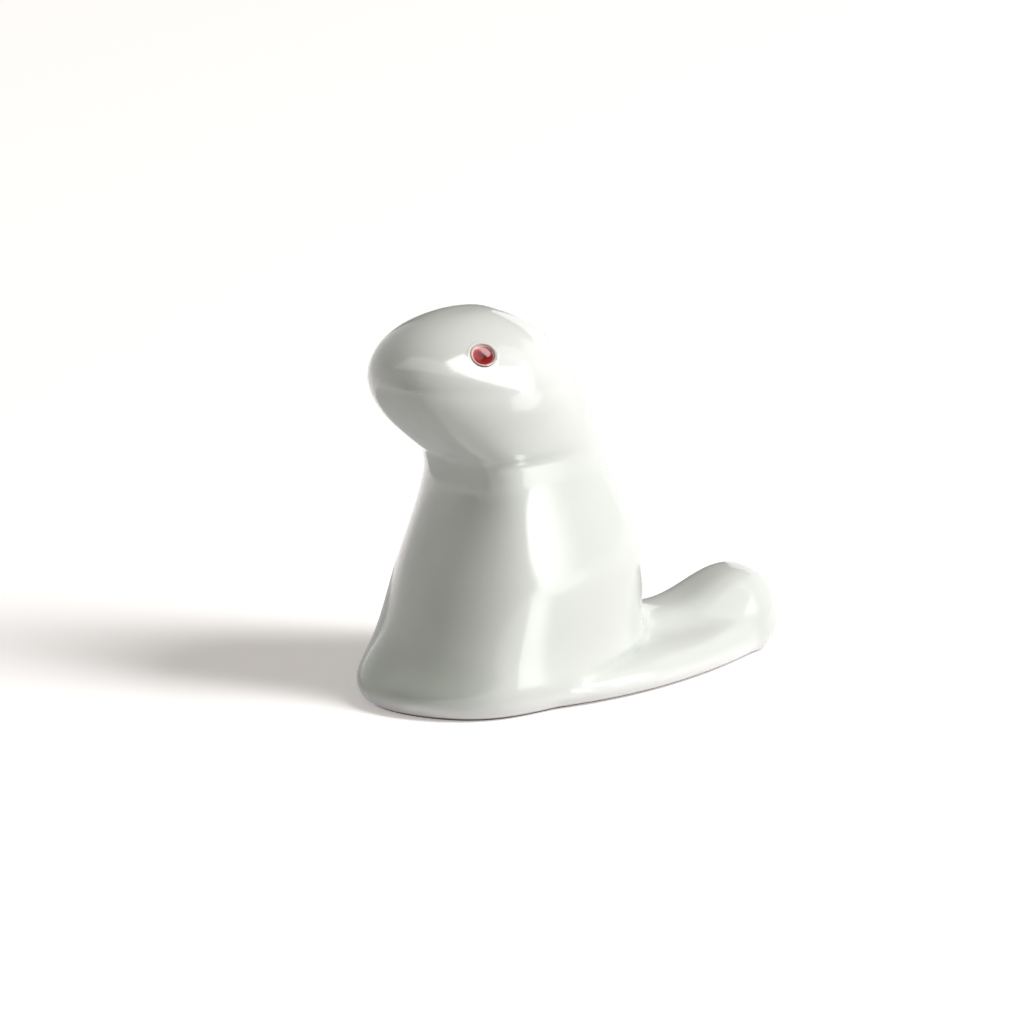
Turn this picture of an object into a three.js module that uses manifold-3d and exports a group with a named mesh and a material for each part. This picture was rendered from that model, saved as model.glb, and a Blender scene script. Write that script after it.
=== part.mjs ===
// A small porcelain chopstick rest in the form of a sitting animal: two hollow halves luted together on the
// mid-plane, a solid tail luted to the back, a base plate that closes the hollow, and two enamel eyes.
// Millimetres, +Z up, +X towards the snout, +Y to the animal's left. The origin is on the table, under the
// middle of the length. Setbacks run back from the front of the foot, and back insets forward from its back.
import * as THREE from "three";
import { LoftGeometry } from "three/addons/geometries/LoftGeometry.js";
import { mergeVertices } from "three/addons/utils/BufferGeometryUtils.js";
import Module from "manifold-3d";

// Height of the figure
const HEIGHT = 39.1;

// Foot
const FOOT_LENGTH = 31.4;
const FOOT_WIDTH = 22.1;
const FOOT_MIDDLE_SETBACK = 12.2;
const SOLE_INSET = 0.9;
const ROLL_HEIGHT = 1.6;
const ANKLE_RISE = 3.4;
const ANKLE_FRONT_INSET = 2;
const ANKLE_BACK_INSET = 0.8;
const ANKLE_SIDE_INSET = 0.2;

// Body and neck
const BODY_MIDDLE_SETBACK = 14.05;
const CHEST_RISE = 8;
const CHEST_WIDTH = 20.5;
const CHEST_FRONT_SETBACK = 4.85;
const CHEST_BACK_INSET = 1.25;
const NECK_WIDTH = 16.4;
const NECK_FRONT_SETBACK = 7.95;
const NECK_BACK_INSET = 5.1;

// Head
const HEAD_RISE = 9.8;
const HEAD_WIDTH = 17.8;
const HEAD_SETBACK = 11.8;
const SNOUT_REACH = 10.2;
const BROW_DEPTH = 6.5;
const THROAT_RISE = 3.4;
const CHIN_DROP = 4.3;
const NAPE_BACK_INSET = 9.9;
const NAPE_LIFT = 0.2;

// Level sections: how far an ellipse fills out at its corners, or is drawn in there, and how softly its
// halves meet at the flank
const FRONT_FILL = -0.024;
const BACK_FILL = 0.018;
const HEAD_FILL = 0.012;
const FLANK_SOFTNESS = 0.14;

// Tail, with its bell-shaped section: a rolled skirt, a shelf and a ridge with round shoulders
const TAIL_LENGTH = 15.5;
const TAIL_WIDTH = 9.8;
const TAIL_ROLL_HEIGHT = 1.5;
const TAIL_SHELF_RISE = 1.9;
const TAIL_ROOT_RISE = 2.1;
const TAIL_END_RISE = 4.8;
const TAIL_TIP_HEIGHT = 3.8;
const TAIL_END_ROUND = 4.6;
const TAIL_END_FOOT_WIDTH = 11.2;
const TAIL_SEAT_LENGTH = 2.7;
const TAIL_LUTE_SETBACK = 0.4;
const TAIL_START_SETBACK = 15.5;
const TAIL_TUCK = 0.4;
const TAIL_BEND_INSET = 3;
const TAIL_BEND_SWELL = 1.5;
const TAIL_SHELF_REACH = 0.7;
const TAIL_SIDE_RISE = 0.3;
const TAIL_SHOULDER_RISE = 0.88;
const TAIL_SHOULDER_REACH = 0.55;

// Walls and base
const WALL = 3;
const RIM = 1.8;
const LEDGE = 1.4;
const BASE_THICKNESS = 2.4;
const BASE_RECESS = 0.3;
const BASE_CLEARANCE = 0.2;
const VENT_DIAMETER = 3;
const VENT_SETBACK = 19.4;

// Eyes, with their height and turn on the head in degrees
const EYE_DIAMETER = 2.2;
const EYE_THICKNESS = 0.8;
const EYE_DISH = 0.3;
const EYE_SINK = 0.1;
const EYE_CLEARANCE = 0.1;
const EYE_RISE = 35;
const EYE_TURN = 72;

// Stations of the skin, counted up from the sole
const LOW_STATIONS = ["sole", "roll", "ankle", "chest", "neck"];
const HEAD_STATIONS = ["throat", "chin", "snout", "cheek", "brow", "crown"];
const STATION = Object.fromEntries([...LOW_STATIONS, ...HEAD_STATIONS].map((name, number) => [name, number]));

// Facets
const RING_POINTS = 44;
const RINGS_PER_STATION = 3;
const TAIL_STEPS = 30;
const TAIL_RINGS = 14;
const TAIL_END_RINGS = 6;
const ROUND_STEPS = 24;
const DISH_STEPS = 6;
const POLE_GAP = 0.06;
const SLOPE_STEP = 0.01;

const PORCELAIN = new THREE.MeshStandardMaterial({ color: 0xe4e8e1, roughness: 0.12, metalness: 0 });
const BISCUIT = new THREE.MeshStandardMaterial({ color: 0xe3ddd2, roughness: 0.8, metalness: 0 });
const ENAMEL = new THREE.MeshStandardMaterial({ color: 0x8f1216, roughness: 0.1, metalness: 0 });

const LENGTH = FOOT_LENGTH + TAIL_LENGTH;
const ANKLE_HEIGHT = ROLL_HEIGHT + ANKLE_RISE;
const CHEST_HEIGHT = ANKLE_HEIGHT + CHEST_RISE;
const SNOUT_HEIGHT = HEIGHT - BROW_DEPTH;
const NECK_HEIGHT = SNOUT_HEIGHT - HEAD_RISE;
const TAIL_SHELF_HEIGHT = TAIL_ROLL_HEIGHT + TAIL_SHELF_RISE;
const CUTTER_SIZE = 4 * (LENGTH + HEIGHT);

const { lerp, smoothstep, degToRad } = THREE.MathUtils;
const at = (setback) => LENGTH / 2 - setback;
const atBack = (inset) => at(FOOT_LENGTH - inset);

const wasm = await Module();
wasm.setup();

// A closed geometry as a solid that can be cut and joined
function solidOf(geometry) {
  const bare = new THREE.BufferGeometry();
  bare.setAttribute("position", geometry.getAttribute("position"));
  bare.setIndex(geometry.getIndex());
  const merged = mergeVertices(bare);
  return new wasm.Manifold(
    new wasm.Mesh({
      numProp: 3,
      vertProperties: merged.attributes.position.array,
      triVerts: new Uint32Array(merged.index.array),
    }),
  );
}

function geometryOf(solid) {
  const mesh = solid.getMesh();
  const geometry = new THREE.BufferGeometry();
  geometry.setAttribute("position", new THREE.BufferAttribute(mesh.vertProperties, 3));
  geometry.setIndex(new THREE.BufferAttribute(mesh.triVerts, 1));
  geometry.computeVertexNormals();
  return geometry;
}

const loftSolid = (rings) => solidOf(new LoftGeometry(rings, { capStart: true, capEnd: true }));

function piece(name, geometry, material) {
  const mesh = new THREE.Mesh(geometry, material);
  mesh.name = name;
  return mesh;
}

// The figure's skin as four profiles that are read together, station by station from the sole to the crown:
// the front and back outlines in the mid-plane, the flank's half width, and where along X it is widest.
function skinProfiles(inset) {
  const foot = FOOT_WIDTH / 2 - inset;
  const front = [
    [at(SOLE_INSET) - inset, 0],
    [at(0) - inset, ROLL_HEIGHT],
    [at(ANKLE_FRONT_INSET) - inset, ANKLE_HEIGHT],
    [at(CHEST_FRONT_SETBACK) - inset, CHEST_HEIGHT],
    [at(NECK_FRONT_SETBACK) - inset, NECK_HEIGHT],
  ];
  const back = [
    [atBack(SOLE_INSET) + inset, 0],
    [atBack(0) + inset, ROLL_HEIGHT],
    [atBack(ANKLE_BACK_INSET) + inset, ANKLE_HEIGHT],
    [atBack(CHEST_BACK_INSET) + inset, CHEST_HEIGHT],
    [atBack(NECK_BACK_INSET) + inset, NECK_HEIGHT],
  ];
  const flank = [
    [foot - SOLE_INSET, 0],
    [foot, ROLL_HEIGHT],
    [foot - ANKLE_SIDE_INSET, ANKLE_HEIGHT],
    [CHEST_WIDTH / 2 - inset, CHEST_HEIGHT],
    [NECK_WIDTH / 2 - inset, NECK_HEIGHT],
  ];
  const middle = front.map((_, station) =>
    station < STATION.chest ? FOOT_MIDDLE_SETBACK : BODY_MIDDLE_SETBACK,
  );

  const reach = SNOUT_REACH - inset;
  const brow = BROW_DEPTH - inset;
  const neckX = at(NECK_FRONT_SETBACK) - inset;
  const snoutX = at(HEAD_SETBACK) + reach;
  const jaw = new THREE.CubicBezierCurve(
    new THREE.Vector2(neckX, NECK_HEIGHT),
    new THREE.Vector2(neckX, NECK_HEIGHT + THROAT_RISE),
    new THREE.Vector2(snoutX, SNOUT_HEIGHT - CHIN_DROP),
    new THREE.Vector2(snoutX, SNOUT_HEIGHT),
  );
  const nape = new THREE.QuadraticBezierCurve(
    new THREE.Vector2(atBack(NECK_BACK_INSET) + inset, NECK_HEIGHT),
    new THREE.Vector2(atBack(NAPE_BACK_INSET) + inset, HEIGHT + NAPE_LIFT - inset),
    new THREE.Vector2(at(HEAD_SETBACK), SNOUT_HEIGHT + brow),
  );
  for (let station = STATION.neck + 1; station <= STATION.crown; station++) {
    const climb = (station - STATION.neck) / (STATION.crown - STATION.neck);
    const swell = Math.min(1, (station - STATION.neck) / (STATION.snout - STATION.neck));
    const share = Math.max(0, (station - STATION.snout) / (STATION.crown - STATION.snout));
    const turn = (share * Math.PI) / 2;
    const face = jaw.getPoint(swell);
    face.x -= reach * (1 - Math.cos(turn));
    face.y += brow * Math.sin(turn);
    front.push(face.toArray());
    back.push(nape.getPoint(climb).toArray());
    const width = lerp(NECK_WIDTH, HEAD_WIDTH, smoothstep(swell, 0, 1));
    flank.push([(width / 2 - inset) * Math.cos(turn), face.y]);
    middle.push(lerp(BODY_MIDDLE_SETBACK, HEAD_SETBACK, climb));
  }
  // One station past the crown keeps the outlines level there
  const last = STATION.crown - 1;
  front.push(back[last]);
  back.push(front[last]);
  flank.push([-flank[last][0], flank[last][1]]);
  middle.push(middle[last]);

  const curve = (points) => new THREE.CatmullRomCurve3(points.map(([u, z]) => new THREE.Vector3(u, 0, z)));
  return {
    front: curve(front),
    back: curve(back),
    flank: curve(flank),
    middle: curve(middle.map((setback, station) => [at(setback), station])),
  };
}

// A point of the skin at a station and a turn, where turn 0 faces forward and a quarter turn faces left
function skinPoint(profiles, station, turn) {
  const share = station / (STATION.crown + 1);
  const front = profiles.front.getPoint(share);
  const back = profiles.back.getPoint(share);
  const flank = profiles.flank.getPoint(share);
  const middle = profiles.middle.getPoint(share).x;
  const lowFill = lerp(BACK_FILL, FRONT_FILL, (1 + Math.cos(turn)) / 2);
  const fill = lerp(lowFill, HEAD_FILL, smoothstep(station, STATION.neck, STATION.snout));
  const along = (Math.cos(turn) - fill * Math.cos(3 * turn)) / (1 - fill);
  const across = (Math.sin(turn) + fill * Math.sin(3 * turn)) / (1 - fill);
  const bow = (share) => Math.hypot(share, FLANK_SOFTNESS) - FLANK_SOFTNESS;
  const fold = bow(along) / bow(1);
  const ahead = (fold + along) / 2;
  const behind = (fold - along) / 2;
  return new THREE.Vector3(
    middle + (front.x - middle) * ahead + (back.x - middle) * behind,
    flank.x * across,
    flank.z + (front.z - flank.z) * ahead ** 2 + (back.z - flank.z) * behind ** 2,
  );
}

function skinRing(profiles, station) {
  const turns = Array.from({ length: RING_POINTS }, (_, i) => (i / RING_POINTS) * 2 * Math.PI);
  return turns.map((turn) => skinPoint(profiles, station, turn));
}

function skinSolid(profiles, firstStation, lowerRings) {
  const rings = [...lowerRings];
  for (let k = firstStation * RINGS_PER_STATION; k < STATION.crown * RINGS_PER_STATION; k++)
    rings.push(skinRing(profiles, k / RINGS_PER_STATION));
  rings.push(skinRing(profiles, STATION.crown - POLE_GAP));
  return loftSolid(rings);
}

const atHeight = (ring, z) => ring.map((point) => new THREE.Vector3(point.x, point.y, z));

// The sole's outline, drawn in and raised as a straight-sided block
function soleBlock(inset, low, high) {
  const ring = skinRing(skinProfiles(inset), STATION.sole);
  return loftSolid([atHeight(ring, low), atHeight(ring, high)]);
}

// One section of the tail, shrunk towards the tip's height where the end rounds off
function tailSection(x, footHalf, rise, shrink) {
  const ridge = Math.min(TAIL_WIDTH / 2, footHalf);
  const half = [
    [footHalf - SOLE_INSET, 0],
    [footHalf, TAIL_ROLL_HEIGHT],
    [lerp(ridge, footHalf, TAIL_SHELF_REACH), TAIL_SHELF_HEIGHT],
    [ridge, TAIL_SHELF_HEIGHT + rise * TAIL_SIDE_RISE],
    [ridge * TAIL_SHOULDER_REACH, TAIL_SHELF_HEIGHT + rise * TAIL_SHOULDER_RISE],
  ];
  const right = half.map(([y, z]) => [-y, z]);
  const outline = [...right, [0, TAIL_SHELF_HEIGHT + rise], ...half.reverse()].map(
    ([y, z]) => new THREE.Vector3(x, y * shrink, lerp(TAIL_TIP_HEIGHT, z, shrink)),
  );
  return new THREE.CatmullRomCurve3(outline).getPoints(TAIL_STEPS);
}

// The tail: wide as the foot at the root, level behind the back, then rising to a rounded end
function tailSolid() {
  const seatX = atBack(-TAIL_SEAT_LENGTH);
  const roundX = at(LENGTH - TAIL_END_ROUND);
  const plan = new THREE.QuadraticBezierCurve(
    new THREE.Vector2(at(TAIL_START_SETBACK), FOOT_WIDTH / 2 - TAIL_TUCK),
    new THREE.Vector2(atBack(TAIL_BEND_INSET), FOOT_WIDTH / 2 + TAIL_BEND_SWELL),
    new THREE.Vector2(roundX, TAIL_END_FOOT_WIDTH / 2),
  );
  const rings = plan.getPoints(TAIL_RINGS).map(({ x, y }) => {
    const climb = smoothstep(-x, -seatX, -roundX);
    return tailSection(x, y, lerp(TAIL_ROOT_RISE, TAIL_END_RISE, climb), 1);
  });
  for (let i = 1; i <= TAIL_END_RINGS; i++) {
    const share = i < TAIL_END_RINGS ? i / TAIL_END_RINGS : 1 - POLE_GAP;
    const turn = (share * Math.PI) / 2;
    const x = roundX - TAIL_END_ROUND * Math.sin(turn);
    rings.push(tailSection(x, TAIL_END_FOOT_WIDTH / 2, TAIL_END_RISE, Math.cos(turn)));
  }
  return loftSolid(rings);
}

// Everything on one side of a plane square to an axis
function side(axis, from, direction) {
  const box = new THREE.BoxGeometry(CUTTER_SIZE, CUTTER_SIZE, CUTTER_SIZE);
  const offset = new THREE.Vector3();
  offset[axis] = from + (direction * CUTTER_SIZE) / 2;
  box.translate(...offset);
  return solidOf(box);
}

// An eye's place on the skin, with its axis square to the skin
function eyePlace(profiles, handed) {
  const station = STATION.snout + ((STATION.crown - STATION.snout) * degToRad(EYE_RISE)) / (Math.PI / 2);
  const turn = handed * degToRad(EYE_TURN);
  const centre = skinPoint(profiles, station, turn);
  const around = skinPoint(profiles, station, turn + SLOPE_STEP).sub(centre);
  const up = skinPoint(profiles, station + SLOPE_STEP, turn).sub(centre);
  const outward = around.cross(up).normalize();
  const place = new THREE.Object3D();
  place.position.copy(centre);
  place.quaternion.setFromUnitVectors(place.up, outward);
  place.updateMatrix();
  return place;
}

// A dished enamel plug, turned about the axis of its pit
function eyeGeometry() {
  const radius = EYE_DIAMETER / 2;
  const bottom = -EYE_SINK - EYE_THICKNESS;
  const dish = new THREE.EllipseCurve(0, -EYE_SINK, radius, EYE_DISH, 0, -Math.PI / 2, true);
  const back = [new THREE.Vector2(0, bottom), new THREE.Vector2(radius, bottom)];
  return new THREE.LatheGeometry([...back, ...dish.getPoints(DISH_STEPS)], ROUND_STEPS);
}

function pitSolid(place) {
  const radius = EYE_DIAMETER / 2 + EYE_CLEARANCE;
  const depth = EYE_SINK + EYE_THICKNESS + EYE_CLEARANCE;
  const pit = new THREE.CylinderGeometry(radius, radius, 2 * depth, ROUND_STEPS);
  return solidOf(pit.applyMatrix4(place.matrix));
}

// The shells start as the whole figure with the tail's root: hollow, rebated for the base and pitted for eyes
const outer = skinProfiles(0);
const inner = skinProfiles(WALL);
const mouth = atHeight(skinRing(skinProfiles(RIM + LEDGE), STATION.sole), BASE_RECESS);
const baseTop = BASE_RECESS + BASE_THICKNESS;
const luteX = atBack(-TAIL_LUTE_SETBACK);
const eyes = { left_eye: eyePlace(outer, 1), right_eye: eyePlace(outer, -1) };
const tail = tailSolid();
const shell = skinSolid(outer, STATION.sole, [])
  .add(tail)
  .intersect(side("x", luteX, 1))
  .subtract(skinSolid(inner, STATION.ankle, [mouth]))
  .subtract(soleBlock(RIM, -BASE_THICKNESS, baseTop))
  .subtract(pitSolid(eyes.left_eye))
  .subtract(pitSolid(eyes.right_eye));

const vent = new THREE.CylinderGeometry(VENT_DIAMETER / 2, VENT_DIAMETER / 2, CUTTER_SIZE, ROUND_STEPS);
vent.rotateX(Math.PI / 2).translate(at(VENT_SETBACK), 0, 0);
const base = soleBlock(RIM + BASE_CLEARANCE, BASE_RECESS, baseTop).subtract(solidOf(vent));

const figure = new THREE.Group();
figure.add(
  piece("left_shell", geometryOf(shell.intersect(side("y", 0, 1))), PORCELAIN),
  piece("right_shell", geometryOf(shell.intersect(side("y", 0, -1))), PORCELAIN),
  piece("tail", geometryOf(tail.intersect(side("x", luteX, -1))), PORCELAIN),
  piece("base_plate", geometryOf(base), BISCUIT),
);
for (const [name, place] of Object.entries(eyes)) {
  const eye = piece(name, eyeGeometry(), ENAMEL);
  eye.position.copy(place.position);
  eye.quaternion.copy(place.quaternion);
  figure.add(eye);
}

export default figure;
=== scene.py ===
"""A small glazed porcelain chopstick rest in the form of a sitting animal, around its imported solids.

Sizes are millimetres, as in the part's source, and each finished mesh is scaled to metres. +Z is up, +X
points from the tail to the snout, +Y to the animal's left, and the origin is on the table under the middle
of the length. Setbacks run back from the front of the foot, and back insets run forward from its back.
"""

from __future__ import annotations

import logging
import math
from dataclasses import dataclass
from enum import Enum, IntEnum
from typing import Iterable, Mapping, Sequence, Union

import bmesh
import bpy
import numpy as np
from mathutils import Matrix, Vector

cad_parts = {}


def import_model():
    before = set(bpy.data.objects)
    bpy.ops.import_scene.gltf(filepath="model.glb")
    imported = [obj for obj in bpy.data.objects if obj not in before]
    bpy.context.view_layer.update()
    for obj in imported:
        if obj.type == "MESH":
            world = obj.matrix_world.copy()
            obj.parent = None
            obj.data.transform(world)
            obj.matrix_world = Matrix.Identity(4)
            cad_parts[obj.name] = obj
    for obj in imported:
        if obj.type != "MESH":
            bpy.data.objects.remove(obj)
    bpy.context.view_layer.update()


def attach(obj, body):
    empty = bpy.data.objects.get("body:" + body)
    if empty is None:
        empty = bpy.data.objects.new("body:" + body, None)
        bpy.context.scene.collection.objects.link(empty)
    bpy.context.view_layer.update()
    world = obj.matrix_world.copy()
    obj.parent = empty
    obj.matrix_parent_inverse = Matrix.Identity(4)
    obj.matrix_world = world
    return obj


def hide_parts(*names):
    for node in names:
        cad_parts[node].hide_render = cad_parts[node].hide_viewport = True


log = logging.getLogger("chopstick_rest")

MM = 0.001
WELD = 1e-5
QUARTER = 90.0
FORWARD = Vector((1.0, 0.0, 0.0))
UP = Vector((0.0, 0.0, 1.0))
BODY = "root"
Colour = tuple[float, float, float, float]


class Slot(Enum):
    """The finishes that the record names."""

    GLAZE = "celadon_glaze"
    BISCUIT = "biscuit"
    ENAMEL = "red_enamel"


class Side(Enum):
    """The animal's two sides, as signs along Y."""

    LEFT = 1
    RIGHT = -1


class Station(IntEnum):
    """The levels of the skin, counted up from the sole."""

    SOLE = 0
    ROLL = 1
    ANKLE = 2
    CHEST = 3
    NECK = 4
    THROAT = 5
    CHIN = 6
    SNOUT = 7
    CHEEK = 8
    BROW = 9
    CROWN = 10


# Colours and curves


def grey(level: float) -> Colour:
    """Give an even grey."""
    return (level, level, level, 1.0)


def mix(low: float, high: float, share: float) -> float:
    """Give the value at a share of the way between two values."""
    return low + (high - low) * share


def ease(value: float, low: float, high: float) -> float:
    """Rise smoothly from 0 at the low value to 1 at the high one."""
    share = min(1.0, max(0.0, (value - low) / (high - low)))
    return share * share * (3 - 2 * share)


def bezier(points: Sequence[Sequence[float]], share: float) -> np.ndarray:
    """Read a Bezier curve of any degree by halving its control lines.

    Args:
        points: The control points.
        share: How far along the curve to read, from 0 to 1.

    Returns:
        The point on the curve.
    """
    level = np.asarray(points, dtype=float)
    while len(level) > 1:
        level = mix(level[:-1], level[1:], share)
    return level[0]


class Spline:
    """A natural cubic spline, whose bend is unbroken so that reflections run smoothly over it."""

    def __init__(self, points: np.ndarray, paced_by: int) -> None:
        """Fit the spline.

        Args:
            points: One row of values for each knot.
            paced_by: How many of the first columns space the knots.
        """
        steps = np.sqrt(np.linalg.norm(np.diff(points[:, :paced_by], axis=0), axis=1))
        self.knots = np.concatenate([[0.0], np.cumsum(steps)])
        self.points = points
        count = len(points)
        grid = np.eye(count)
        pull = np.zeros_like(points)
        for i in range(1, count - 1):
            before, after = steps[i - 1], steps[i]
            grid[i, i - 1 : i + 2] = before, 2 * (before + after), after
            pull[i] = 6 * ((points[i + 1] - points[i]) / after - (points[i] - points[i - 1]) / before)
        self.bends = np.linalg.solve(grid, pull)

    def at(self, knot: float) -> np.ndarray:
        """Read the spline.

        Args:
            knot: The place along the knots.

        Returns:
            The row of values there.
        """
        i = int(np.clip(np.searchsorted(self.knots, knot) - 1, 0, len(self.knots) - 2))
        span = self.knots[i + 1] - self.knots[i]
        right = (self.knots[i + 1] - knot) / span
        left = 1 - right
        bow = (right**3 - right) * self.bends[i] + (left**3 - left) * self.bends[i + 1]
        return right * self.points[i] + left * self.points[i + 1] + bow * span**2 / 6


# Mesh helpers


def wrap(bm: bmesh.types.BMesh, rings: np.ndarray, close: bool = True) -> None:
    """Roll a flat grid into a tube through rings of points, and close its ends.

    Args:
        bm: The mesh that gets the tube.
        rings: The points of each ring, in order along the tube.
        close: Whether open ends get a face.
    """
    count, around = rings.shape[:2]
    grid = bmesh.ops.create_grid(bm, x_segments=around, y_segments=count - 1, size=1.0)["verts"]
    for vert in grid:
        turn = round((vert.co.x + 1) / 2 * around) % around
        level = round((vert.co.y + 1) / 2 * (count - 1))
        vert.co = rings[level][turn]
    bmesh.ops.remove_doubles(bm, verts=grid, dist=WELD)
    if close:
        tube = [vert for vert in grid if vert.is_valid]
        rim = {edge for vert in tube for edge in vert.link_edges if edge.is_boundary}
        bmesh.ops.holes_fill(bm, edges=list(rim), sides=0)


def lathe(bm: bmesh.types.BMesh, profile: Sequence[Sequence[float]], steps: int) -> None:
    """Turn a profile about the Z axis.

    Args:
        bm: The mesh that gets the turned shape.
        profile: Radius and height of each point, starting and ending on the axis.
        steps: How many faces go round.
    """
    verts = bmesh.ops.create_vert(bm, co=(profile[0][0], 0.0, profile[0][1]))["vert"]
    chain: list = list(verts)
    for radius, height in profile[1:]:
        grown = bmesh.ops.extrude_vert_indiv(bm, verts=verts)
        verts = grown["verts"]
        verts[0].co = (radius, 0.0, height)
        chain += verts + grown["edges"]
    bmesh.ops.spin(
        bm, geom=chain, cent=(0, 0, 0), axis=(0, 0, 1), angle=math.tau, steps=steps, use_merge=True
    )
    bmesh.ops.remove_doubles(bm, verts=bm.verts, dist=WELD)
    bmesh.ops.recalc_face_normals(bm, faces=bm.faces)


def smooth(bm: bmesh.types.BMesh, verts: Sequence[bmesh.types.BMVert]) -> None:
    """Pull vertices halfway to the middle of their neighbours."""
    axes = {f"use_axis_{axis}": True for axis in "xyz"}
    bmesh.ops.smooth_vert(bm, verts=verts, factor=0.5, **axes)


def linked(name: str, data: bpy.types.ID) -> bpy.types.Object:
    """Make an object and put it in the scene.

    Args:
        name: The object's name.
        data: Its mesh, lamp or camera.

    Returns:
        The object, at the origin.
    """
    obj = bpy.data.objects.new(name, data)
    bpy.context.scene.collection.objects.link(obj)
    return obj


def as_object(bm: bmesh.types.BMesh, name: str) -> bpy.types.Object:
    """Make a mesh that is being worked on an object.

    Args:
        bm: The mesh, which is freed.
        name: The object's name.

    Returns:
        The linked object, at the origin.
    """
    mesh = bpy.data.meshes.new(name)
    bm.to_mesh(mesh)
    bm.free()
    return linked(name, mesh)


def finished(bm: bmesh.types.BMesh, name: str, crease: float = 40.0) -> bpy.types.Object:
    """Scale a mesh from millimetres to metres and make it a smooth object.

    Args:
        bm: The mesh, which is freed.
        name: The object's name.
        crease: The angle in degrees past which an edge stays sharp.

    Returns:
        The linked object, at the origin.
    """
    bmesh.ops.scale(bm, vec=(MM, MM, MM), verts=bm.verts)
    obj = as_object(bm, name)
    obj.data.shade_smooth()
    obj.data.set_sharp_from_angle(angle=math.radians(crease))
    return obj


def rows(items: bpy.types.bpy_prop_collection, name: str, width: int, kind: type = float) -> np.ndarray:
    """Read one property of all vertices or edges of a mesh.

    Args:
        items: The vertices or edges.
        name: The property.
        width: How many numbers it has.
        kind: What kind of number.

    Returns:
        One row for each vertex or edge.
    """
    values = np.empty(len(items) * width, dtype=kind)
    items.foreach_get(name, values)
    return values.reshape(-1, width)


def paint(obj: bpy.types.Object, name: str, values: Iterable[float]) -> None:
    """Store one number for each vertex of a piece, for its finish to read."""
    layer = obj.data.attributes.new(name, "FLOAT", "POINT")
    layer.data.foreach_set("value", np.asarray(list(values), dtype=np.float32))


# Shader wiring


class Wire:
    """An output socket whose arithmetic adds Math nodes."""

    def __init__(self, board: Board, socket: bpy.types.NodeSocket) -> None:
        """Hold a socket of a board."""
        self.board = board
        self.socket = socket

    def other(self, name: str) -> Wire:
        """Give another output of the same node."""
        return Wire(self.board, self.socket.node.outputs[name])

    def math(self, operation: str, first: Operand, second: Operand) -> Wire:
        """Add a Math node on two operands."""
        return self.board.add("ShaderNodeMath", {"operation": operation}, {0: first, 1: second})

    def __add__(self, other: Operand) -> Wire:
        """Add to the value."""
        return self.math("ADD", self, other)

    def __radd__(self, other: Operand) -> Wire:
        """Add the value to a number."""
        return self.math("ADD", other, self)

    def __sub__(self, other: Operand) -> Wire:
        """Take from the value."""
        return self.math("SUBTRACT", self, other)

    def __rsub__(self, other: Operand) -> Wire:
        """Take the value from a number."""
        return self.math("SUBTRACT", other, self)

    def __mul__(self, other: Operand) -> Wire:
        """Multiply the value."""
        return self.math("MULTIPLY", self, other)

    def __rmul__(self, other: Operand) -> Wire:
        """Multiply a number by the value."""
        return self.math("MULTIPLY", other, self)

    def over(self, low: float, high: float) -> Wire:
        """Rise smoothly from 0 at the low value to 1 at the high one."""
        return self.board.add(
            "ShaderNodeMapRange",
            {"interpolation_type": "SMOOTHSTEP"},
            {"Value": self, "From Min": low, "From Max": high, "To Min": 0.0, "To Max": 1.0},
        )

    def largest(self, other: Operand) -> Wire:
        """Give the larger of two values."""
        return self.math("MAXIMUM", self, other)


Operand = Union[Wire, float]
Settings = Mapping[str, object]
Sockets = Mapping[Union[str, int], object]


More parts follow.
